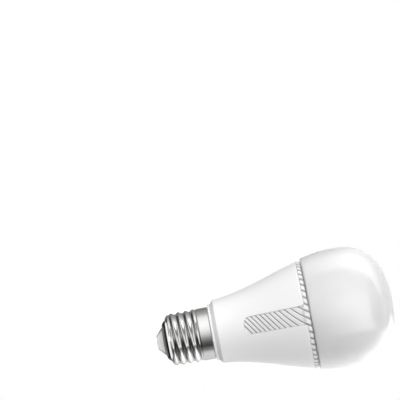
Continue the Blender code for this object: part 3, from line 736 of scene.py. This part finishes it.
def track_pattern(tree, entry, place):
    """Squared-off tracks and pads of a circuit board, seen through its lacquer."""
    cells = add(tree, "ShaderNodeTexVoronoi", distance="CHEBYCHEV", feature="F1")
    join(tree, place, "Object", cells, "Vector")
    join(tree, entry, "Grain", cells, "Scale")
    ramp = add(tree, "ShaderNodeValToRGB")
    ramp.color_ramp.elements[0].position = 0.30
    ramp.color_ramp.elements[1].position = 0.36
    join(tree, cells, "Distance", ramp, "Fac")
    return ramp.outputs["Color"]


GRAIN_DEPTH = 0.02 * MM


class Finishes:
    """Makes each material once. A grain of 2000 has about two spots to a millimetre."""

    def __init__(self):
        self.groups = {
            "grain": blend_group("moulded_grain", grain_pattern),
            "turned": blend_group("turned_metal", turned_pattern),
            "tracks": blend_group("board_tracks", track_pattern),
        }
        self.made = {}

    def get(self, name, group, colour, second, rough, second_rough, grain, bump, metallic=0.0):
        if name in self.made:
            return self.made[name]
        finish = bpy.data.materials.new(name)
        finish.use_nodes = True
        tree = finish.node_tree
        shader = tree.nodes["Principled BSDF"]
        shader.inputs["Metallic"].default_value = metallic
        look = tree.nodes.new("ShaderNodeGroup")
        look.node_tree = self.groups[group]
        look.inputs["Colour"].default_value = (*colour, 1.0)
        look.inputs["Second Colour"].default_value = (*second, 1.0)
        look.inputs["Roughness"].default_value = rough
        look.inputs["Second Roughness"].default_value = second_rough
        look.inputs["Grain"].default_value = grain
        join(tree, look, "Colour", shader, "Base Color")
        join(tree, look, "Roughness", shader, "Roughness")
        relief = add(tree, "ShaderNodeBump", Strength=bump, Distance=GRAIN_DEPTH)
        join(tree, look, "Height", relief, "Height")
        join(tree, relief, "Normal", shader, "Normal")
        self.made[name] = finish
        return finish

    def plastic(self, name, colour, rough=0.4, grain=2500.0, bump=0.3, shade=0.93):
        second = tuple(channel * shade for channel in colour)
        return self.get(name, "grain", colour, second, rough, rough * 1.2, grain, bump)

    def metal(self, name, colour, rough=0.25, grain=3000.0, bump=0.2, shade=0.85):
        second = tuple(channel * shade for channel in colour)
        return self.get(name, "turned", colour, second, rough, rough * 1.4, grain, bump, metallic=1.0)

    def board(self, name, colour, tracks, rough=0.4, grain=400.0):
        return self.get(name, "tracks", colour, tracks, rough, rough * 0.8, grain, 0.6)

    def patterned(self, name, colour, groove):
        """The collar's finish: the grain, darkened in the grooves and, as painted shade, under the dome's
        rim, where the mesh's attribute says.
        """
        finish = self.plastic(name, colour, 0.35, 2500.0, 0.2, 0.96)
        tree = finish.node_tree
        shader = tree.nodes["Principled BSDF"]
        grain = shader.inputs["Base Color"].links[0].from_node
        # This attribute holds the grooves and also the painted shade under the dome's rim.
        depth = add(tree, "ShaderNodeAttribute", attribute_name="groove")
        darkened = mixed(tree, depth.outputs["Fac"], grain.outputs["Colour"], (*groove, 1.0))
        tree.links.new(darkened, shader.inputs["Base Color"])
        return finish


finishes = Finishes()


def dress(node, finish):
    """Gives a carried-over CAD node its finish."""
    mesh = NODES[node].data
    if mesh.materials:
        for index in range(len(mesh.materials)):
            mesh.materials[index] = finish
    else:
        mesh.materials.append(finish)


# ---- Stage --------------------------------------------------------------------------------------


# Radiances round the Z axis, against the angle from the tab's side, positive towards -X.
GLOSS_ROUND = (
    (-180, 0.5), (-137, 0.82), (-101, 0.87), (-88, 0.75), (-77, 0.3), (-55, 0.055), (-36, 0.14),
    (-18, 0.41), (0, 0.88), (18, 1.22), (36, 1.38), (55, 1.38), (77, 1.18), (101, 0.55), (137, 0.26),
    (180, 0.3),
)
SOFT_ROUND = (
    (-180, 1.0), (-125, 2.9), (-95, 2.7), (-75, 0.5), (-40, 0.5), (-15, 2.6), (10, 3.5), (60, 2.6),
    (100, 1.6), (140, 1.2), (180, 1.0),
)
# Factors against the height of the light above the horizon.
GLOSS_RISE = ((-90, 2.4), (-80, 0.9), (-72, 0.2), (-32, 0.2), (-18, 1.0), (18, 1.0), (32, 0.25), (90, 0.3))
SOFT_RISE = ((-90, 0.1), (-12, 0.15), (3, 1.08), (20, 1.05), (42, 0.25), (90, 0.1))
WHITE = (1.0, 1.0, 1.0, 1.0)


def ramp_of(tree, source, stops, place):
    """A ramp of grey values given as (degrees, value) stops; place turns degrees into the source's 0 to 1."""
    ramp = add(tree, "ShaderNodeValToRGB")
    elements = ramp.color_ramp.elements
    while len(elements) < len(stops):
        elements.new(0.5)
    for element, (degrees, value) in zip(elements, stops):
        element.position = place(degrees)
        element.color = (value, value, value, 1.0)
    tree.links.new(source, ramp.inputs["Fac"])
    return ramp.outputs["Color"]


def build_world():
    """Light from all round: one set of radiances for reflections, a softer one for diffuse light."""
    world = bpy.data.worlds.new("studio")
    bpy.context.scene.world = world
    world.use_nodes = True
    world.cycles.sampling_method = "NONE"
    tree = world.node_tree
    tree.nodes.clear()
    place = add(tree, "ShaderNodeTexCoord")
    split = add(tree, "ShaderNodeSeparateXYZ")
    join(tree, place, "Generated", split, "Vector")
    facing = [calc(tree, "MULTIPLY_ADD", split.outputs[axis], -1.0, 0.0) for axis in "XY"]
    turn = calc(tree, "MULTIPLY_ADD", calc(tree, "ARCTAN2", *facing), 1 / TURN, 0.5)
    rise = calc(tree, "MULTIPLY_ADD", split.outputs["Z"], 0.5, 0.5)
    lights = []
    for round_stops, rise_stops in ((GLOSS_ROUND, GLOSS_RISE), (SOFT_ROUND, SOFT_RISE)):
        level = ramp_of(tree, turn, round_stops, lambda degrees: degrees / 360 + 0.5)
        factor = ramp_of(tree, rise, rise_stops, lambda degrees: math.sin(math.radians(degrees)) / 2 + 0.5)
        lights.append(mixed(tree, 1.0, level, factor, "MULTIPLY"))
    path = add(tree, "ShaderNodeLightPath")
    by_kind = mixed(tree, path.outputs["Is Diffuse Ray"], *lights)
    seen = mixed(tree, path.outputs["Is Camera Ray"], by_kind, WHITE)
    light = add(tree, "ShaderNodeBackground")
    tree.links.new(seen, light.inputs["Color"])
    leave = add(tree, "ShaderNodeOutputWorld")
    join(tree, light, "Background", leave, "Surface")


def level_at(value, stops):
    """The value that a list of (position, level) stops gives at a position."""
    for (start, first), (end, last) in zip(stops, stops[1:]):
        if value <= end:
            return first + (last - first) * clamp((value - start) / (end - start))
    return stops[-1][1]


# The screens that the dome mirrors: a bright room behind it, and a window with a lamp in front of it.
SCREEN_RADIUS = 120 * MM
SCREEN_LOW = -30
SCREEN_ROUND = (
    (-180, 0.8), (-120, 0.8), (-100, 0.4), (-50, 0.12), (0, 0.2), (60, 0.25), (66, 0.4), (76, 1.4),
    (100, 1.5), (118, 0.9), (135, 0.7), (180, 0.8),
)
SCREEN_RISE = ((-30, 0.5), (-12, 0.6), (5, 0.9), (18, 1.4), (50, 1.2), (62, 1.0), (90, 1.0))
CRESCENT_ROUND = (
    (-168, 0.0), (-155, 1.4), (-120, 1.6), (-104, 1.4), (-90, 0.7), (-78, 0.15), (-60, 0.0), (180, 0.0),
)
CRESCENT_TOP = 60
CRESCENT_FADE = 8
WINDOW_RISE = ((-24, 0.0), (-5, 0.7), (12, 1.15), (34, 1.3), (90, 1.1))
WINDOW_START = -45
WINDOW_BEND = 16
WINDOW_BEND_RISE = 46
WINDOW_END = 38
WINDOW_FADE = 30
WINDOW_TOP = 49
INNER_TURN = 18
INNER_RISE = -3
INNER_REACH = (40, 30)
INNER_FADE = 3
INNER_LEVEL = 0.35
LOW_CARD_RADIUS = 34 * MM
LOW_CARD_PLACE = (0, 22 * MM, -30 * MM)
LOW_CARD_GLOW = 1.3
CAMERA_AIM = (-65.7 * MM, 0.0, 33.8 * MM)
EYE_HEIGHT = 55 * MM


def screen_level(turn, rise):
    """How bright the screen is at a turn about Z from the tab's side and a rise, both in degrees."""
    crescent = level_at(turn, CRESCENT_ROUND) * clamp((CRESCENT_TOP - rise) / CRESCENT_FADE)
    level = (level_at(turn, SCREEN_ROUND) + crescent) * level_at(rise, SCREEN_RISE)
    bend = WINDOW_BEND * (max(rise, 0.0) / WINDOW_BEND_RISE) ** 2
    start = clamp(turn - WINDOW_START + bend)
    end = clamp((WINDOW_END - turn) / WINDOW_FADE)
    window = min(start, clamp(WINDOW_TOP - rise)) * end * level_at(rise, WINDOW_RISE)
    inner_place = ((turn - INNER_TURN) / INNER_REACH[0], (rise - INNER_RISE) / INNER_REACH[1])
    inner = clamp(INNER_FADE - INNER_FADE * math.hypot(*inner_place))
    return max(window, level) + inner * INNER_LEVEL


def set_on_stage(obj, *hidden_from):
    """Hides a stage piece from kinds of ray."""
    for kind in hidden_from:
        setattr(obj, f"visible_{kind}", False)


def glowing(name, cage):
    """A stage piece that only reflections see, and that shines as its mesh's glow says."""
    finish = bpy.data.materials.new(name)
    finish.use_nodes = True
    finish.cycles.emission_sampling = "NONE"
    tree = finish.node_tree
    tree.nodes.clear()
    level = add(tree, "ShaderNodeAttribute", attribute_name="glow")
    light = add(tree, "ShaderNodeEmission", Strength=1.0)
    join(tree, level, "Fac", light, "Color")
    leave = add(tree, "ShaderNodeOutputMaterial")
    join(tree, light, "Emission", leave, "Surface")
    set_on_stage(placed(name, cage, finish), "camera", "diffuse", "shadow", "transmission")


def build_screen():
    """Part of a sphere round the dome, which carries what the dome mirrors."""
    cage = bmesh.new()
    rises = [math.radians(rise) for rise in spread(SCREEN_LOW, 90, 160)]
    line = [(0, SCREEN_RADIUS * math.cos(rise), SCREEN_RADIUS * math.sin(rise)) for rise in rises]
    sweep(cage, line, TURN, 480)
    bmesh.ops.remove_doubles(cage, verts=cage.verts, dist=WELD)
    glow = cage.verts.layers.float.new("glow")
    for vert in cage.verts:
        rise = math.degrees(math.asin(clamp(vert.co.z / SCREEN_RADIUS, -1.0)))
        vert[glow] = screen_level(-math.degrees(front_angle(vert.co)), rise)
    bmesh.ops.translate(cage, vec=(0, 0, DOME_WIDEST), verts=cage.verts)
    glowing("studio_screen", cage)


def build_low_card():
    """A round card below and behind the cap, which the contact's cone mirrors."""
    cage = bmesh.new()
    bmesh.ops.create_circle(cage, cap_ends=True, segments=64, radius=LOW_CARD_RADIUS)
    glow = cage.verts.layers.float.new("glow")
    for vert in cage.verts:
        vert[glow] = LOW_CARD_GLOW
    bmesh.ops.translate(cage, vec=LOW_CARD_PLACE, verts=cage.verts)
    glowing("studio_low_card", cage)


def build_floor(radius):
    """A pale disc level with the contact's tip, which gives off some light of its own."""
    cage = bmesh.new()
    bmesh.ops.create_circle(cage, cap_ends=True, segments=128, radius=radius)
    bmesh.ops.translate(cage, vec=(0, 0, low("centre_contact")), verts=cage.verts)
    pale = bpy.data.materials.new("pale_floor")
    pale.use_nodes = True
    shader = pale.node_tree.nodes["Principled BSDF"]
    shader.inputs["Base Color"].default_value = (0.85, 0.85, 0.85, 1.0)
    shader.inputs["Roughness"].default_value = 0.9
    shader.inputs["Specular IOR Level"].default_value = 0.0
    shader.inputs["Emission Color"].default_value = WHITE
    shader.inputs["Emission Strength"].default_value = 0.6
    set_on_stage(placed("studio_floor", cage, pale), "diffuse", "glossy")


def aim_camera(studio):
    """Looks square on to the axis from the tab's side, with the dome to the right and tilted up a little."""
    aim = Vector(CAMERA_AIM)
    eye = Vector((0.0, -studio.camera_distance, EYE_HEIGHT))
    back = (eye - aim).normalized()
    along = Vector((0, 0, 1))
    along = (along - back * along.dot(back)).normalized()
    over = back.cross(along)
    right = along * math.cos(studio.roll) - over * math.sin(studio.roll)
    up = along * math.sin(studio.roll) + over * math.cos(studio.roll)
    data = bpy.data.cameras.new("camera")
    data.lens = studio.lens
    data.sensor_width = 36.0
    data.clip_start = 0.01
    data.clip_end = 20.0
    camera = bpy.data.objects.new("camera", data)
    bpy.context.scene.collection.objects.link(camera)
    turn = Matrix((right, up, back)).transposed()
    camera.matrix_world = Matrix.Translation(eye) @ turn.to_4x4()
    bpy.context.scene.camera = camera


# ---- Settings -----------------------------------------------------------------------------------


def length(name, description, default):
    return bpy.props.FloatProperty(
        name=name, description=description, default=default, subtype="DISTANCE", unit="LENGTH", precision=5
    )


def colour(name, description, default):
    return bpy.props.FloatVectorProperty(
        name=name, description=description, default=default, size=3, min=0.0, max=1.0, subtype="COLOR"
    )


class LampBodySettings(bpy.types.PropertyGroup):
    """Finishes of the dome and the housing."""

    dome_colour: colour("Dome colour", "Colour of the opal diffuser", (0.92, 0.92, 0.92))
    dome_roughness: bpy.props.FloatProperty(
        name="Dome roughness", description="How dull the diffuser is", default=0.03, min=0.0, max=1.0
    )
    housing_colour: colour("Housing colour", "Colour of the housing's plastic", (0.86, 0.86, 0.86))
    housing_roughness: bpy.props.FloatProperty(
        name="Housing roughness", description="How dull the housing is", default=0.3, min=0.0, max=1.0
    )


class LampPatternSettings(bpy.types.PropertyGroup):
    """The grooves of the collar."""

    line_width: length("Line width", "Width of each groove", 0.42 * MM)
    dash_width: length("Dash width", "Width of each groove on the ring", 1.25 * MM)
    line_depth: length("Line depth", "Depth of each groove", 0.22 * MM)
    ring_cant: length("Ring cant", "How far the ring's upper edge leans in under the dome", 0.35 * MM)
    band_height: length("Band height", "How far each band bulges between its grooves", 0.1 * MM)
    band_colour: colour("Band colour", "Colour of the bands", (0.8, 0.8, 0.8))
    # The painted shade under the dome's rim darkens towards this colour too.
    line_colour: colour("Line colour", "Colour in the grooves", (0.12, 0.12, 0.12))


class LampCapSettings(bpy.types.PropertyGroup):
    """The screw cap, after the E27 thread."""

    crest_radius: length("Crest radius", "Radius of the thread's crest", 13.1 * MM)
    root_radius: length("Root radius", "Radius of the thread's root", 12.2 * MM)
    thread_pitch: length("Thread pitch", "Height of one turn of the thread", 3.629 * MM)
    metal_colour: colour("Metal colour", "Colour of the nickel shell", (0.72, 0.72, 0.71))


class LampStudioSettings(bpy.types.PropertyGroup):
    """The camera and the floor."""

    camera_distance: length("Camera distance", "How far the camera stands from the lamp", 1.3)
    lens: bpy.props.FloatProperty(name="Lens", description="Focal length in millimetres", default=236.0)
    roll: bpy.props.FloatProperty(
        name="Roll", description="How far the lamp tilts up in the view", default=math.radians(10.7),
        subtype="ANGLE", unit="ROTATION",
    )
    floor_radius: length("Floor radius", "Radius of the round floor", 0.6)


# ---- Operators ----------------------------------------------------------------------------------


class LAMP_OT_dome(bpy.types.Operator):
    """Build the opal diffuser dome"""

    bl_idname = "lamp.dome"
    bl_label = "Diffuser dome"

    def execute(self, context):
        body = context.scene.lamp_body
        rough = body.dome_roughness
        shade = tuple(channel * 0.985 for channel in body.dome_colour)
        opal = finishes.get("opal_diffuser", "grain", body.dome_colour, shade, rough, rough * 1.3, 900.0, 0.0)
        shader = opal.node_tree.nodes["Principled BSDF"]
        shader.inputs["IOR"].default_value = DOME_IOR
        shader.inputs["Subsurface Weight"].default_value = DOME_SUBSURFACE
        shader.inputs["Subsurface Radius"].default_value = (1.0, 1.0, 1.0)
        shader.inputs["Subsurface Scale"].default_value = DOME_SCATTER
        build_dome(opal)
        return {"FINISHED"}


class LAMP_OT_housing(bpy.types.Operator):
    """Build the flared plastic housing"""

    bl_idname = "lamp.housing"
    bl_label = "Outer housing"

    def execute(self, context):
        body = context.scene.lamp_body
        rough = body.housing_roughness
        build_housing(finishes.plastic("housing_white", body.housing_colour, rough, 4000.0, 0.12, 0.985))
        return {"FINISHED"}


class LAMP_OT_collar(bpy.types.Operator):
    """Build the patterned ring and tab"""

    bl_idname = "lamp.collar"
    bl_label = "Patterned collar"

    def execute(self, context):
        pattern = context.scene.lamp_pattern
        finish = finishes.patterned("collar_bands", pattern.band_colour, pattern.line_colour)
        build_collar(finish, pattern)
        return {"FINISHED"}


class LAMP_OT_cap(bpy.types.Operator):
    """Build the threaded shell, the insulator and the centre contact"""

    bl_idname = "lamp.cap"
    bl_label = "Screw cap"

    def execute(self, context):
        cap = context.scene.lamp_cap
        nickel = finishes.metal("cap_nickel", cap.metal_colour, 0.12, 2500.0, 0.05, 0.96)
        build_screw_shell(nickel, cap)
        glass = finishes.plastic("insulator_black", (0.012, 0.012, 0.012), 0.05, 600.0, 0.03, 0.8)
        plated = finishes.metal("contact_tin", (0.62, 0.62, 0.6), 0.3, 6000.0, 0.4, 0.85)
        build_cap_end(glass, plated)
        dress("contact_solder", finishes.metal("solder_blob", (0.62, 0.62, 0.6), 0.35, 900.0, 0.4))
        return {"FINISHED"}


class LAMP_OT_light_board(bpy.types.Operator):
    """Finish the light board, its LEDs, screws, pad and seal"""

    bl_idname = "lamp.light_board"
    bl_label = "Light board"

    def execute(self, context):
        dress("led_board", finishes.board("board_white", (0.84, 0.84, 0.82), (0.78, 0.78, 0.75), 0.4, 300.0))
        dress("thermal_pad", finishes.plastic("pad_grey", (0.45, 0.47, 0.5), 0.8, 900.0, 0.6, 0.8))
        dress("diffuser_seal", finishes.plastic("seal_silicone", (0.8, 0.8, 0.79), 0.55, 1200.0, 0.3))
        screw = finishes.metal("screw_steel", (0.62, 0.62, 0.63), 0.28)
        phosphor = finishes.plastic("led_phosphor", (0.9, 0.72, 0.2), 0.35, 2500.0, 0.4, 0.85)
        for node in NODES:
            if node.startswith("board_screw"):
                dress(node, screw)
            if node.startswith("led_") and node != "led_board":
                dress(node, phosphor)
        return {"FINISHED"}


class LAMP_OT_heat_sink(bpy.types.Operator):
    """Finish the heat sink and its liner"""

    bl_idname = "lamp.heat_sink"
    bl_label = "Heat sink"

    def execute(self, context):
        dress("heat_sink_cup", finishes.metal("cup_aluminium", (0.78, 0.78, 0.79), 0.35, 1800.0, 0.4))
        dress("driver_liner", finishes.plastic("liner_white", (0.78, 0.78, 0.76), 0.5))
        return {"FINISHED"}


class LAMP_OT_driver(bpy.types.Operator):
    """Finish the driver board and what is soldered to it"""

    bl_idname = "lamp.driver"
    bl_label = "Driver"

    def execute(self, context):
        green = finishes.board("board_green", (0.03, 0.16, 0.06), (0.06, 0.27, 0.1), 0.35, 500.0)
        dress("driver_board", green)
        chip = finishes.plastic("chip_black", (0.025, 0.025, 0.027), 0.5, 3000.0, 0.5)
        sleeve = finishes.plastic("sleeve_black", (0.03, 0.03, 0.035), 0.3, 800.0, 0.15)
        tape = finishes.plastic("tape_yellow", (0.85, 0.62, 0.05), 0.4, 700.0, 0.3)
        plain = {
            "fuse_resistor": finishes.plastic("fuse_green", (0.2, 0.36, 0.3), 0.45),
            "bridge_rectifier": chip,
            "driver_chip": chip,
            "power_transistor": chip,
            "output_header": finishes.plastic("header_black", (0.03, 0.03, 0.03), 0.45),
            "film_capacitor": finishes.plastic("film_yellow", (0.75, 0.5, 0.06), 0.35),
            "input_capacitor": sleeve,
            "output_capacitor": sleeve,
            "filter_choke": finishes.metal("choke_copper", (0.75, 0.32, 0.16), 0.3, 2200.0, 0.8),
            "transformer_core": finishes.plastic("ferrite_grey", (0.07, 0.07, 0.08), 0.6, 1500.0, 0.7),
            "transformer_winding": tape,
            "live_wire": finishes.plastic("wire_red", (0.55, 0.02, 0.02), 0.35),
            "neutral_wire": finishes.plastic("wire_blue", (0.02, 0.1, 0.45), 0.35),
        }
        for node, finish in plain.items():
            dress(node, finish)
        return {"FINISHED"}


class LAMP_OT_radio(bpy.types.Operator):
    """Finish the radio board and its screening can"""

    bl_idname = "lamp.radio"
    bl_label = "Radio"

    def execute(self, context):
        dress("wifi_board", finishes.board("board_blue", (0.02, 0.07, 0.22), (0.04, 0.13, 0.34), 0.35, 900.0))
        dress("wifi_shield_can", finishes.metal("shield_tin", (0.7, 0.7, 0.69), 0.3, 1500.0, 0.2))
        return {"FINISHED"}


class LAMP_OT_stage(bpy.types.Operator):
    """Set up the camera, the light and the floor"""

    bl_idname = "lamp.stage"
    bl_label = "Stage"

    def execute(self, context):
        context.scene.view_settings.view_transform = "Standard"
        studio = context.scene.lamp_studio
        build_world()
        build_screen()
        build_low_card()
        build_floor(studio.floor_radius)
        aim_camera(studio)
        return {"FINISHED"}


class LAMP_PT_panel(bpy.types.Panel):
    """Lists the lamp's settings and the pieces to build"""

    bl_label = "Smart light bulb"
    bl_idname = "LAMP_PT_panel"
    bl_space_type = "VIEW_3D"
    bl_region_type = "UI"
    bl_category = "Lamp"

    def draw(self, context):
        for key in SETTINGS:
            group = getattr(context.scene, key)
            for name in group.__annotations__:
                self.layout.prop(group, name)
        for operator in OPERATORS:
            self.layout.operator(operator.bl_idname)


SETTINGS = {
    "lamp_body": LampBodySettings,
    "lamp_pattern": LampPatternSettings,
    "lamp_cap": LampCapSettings,
    "lamp_studio": LampStudioSettings,
}
OPERATORS = (
    LAMP_OT_stage,
    LAMP_OT_dome,
    LAMP_OT_housing,
    LAMP_OT_collar,
    LAMP_OT_cap,
    LAMP_OT_light_board,
    LAMP_OT_heat_sink,
    LAMP_OT_driver,
    LAMP_OT_radio,
)


def register():
    for kind in (*SETTINGS.values(), *OPERATORS, LAMP_PT_panel):
        bpy.utils.register_class(kind)
    for key, kind in SETTINGS.items():
        setattr(bpy.types.Scene, key, bpy.props.PointerProperty(type=kind))


def unregister():
    for key in SETTINGS:
        delattr(bpy.types.Scene, key)
    for kind in reversed((*SETTINGS.values(), *OPERATORS, LAMP_PT_panel)):
        bpy.utils.unregister_class(kind)


def main():
    register()
    bpy.ops.lamp.stage()
    bpy.ops.lamp.dome()
    bpy.ops.lamp.housing()
    bpy.ops.lamp.collar()
    bpy.ops.lamp.cap()
    bpy.ops.lamp.light_board()
    bpy.ops.lamp.heat_sink()
    bpy.ops.lamp.driver()
    bpy.ops.lamp.radio()


if __name__ == "__main__":
    main()
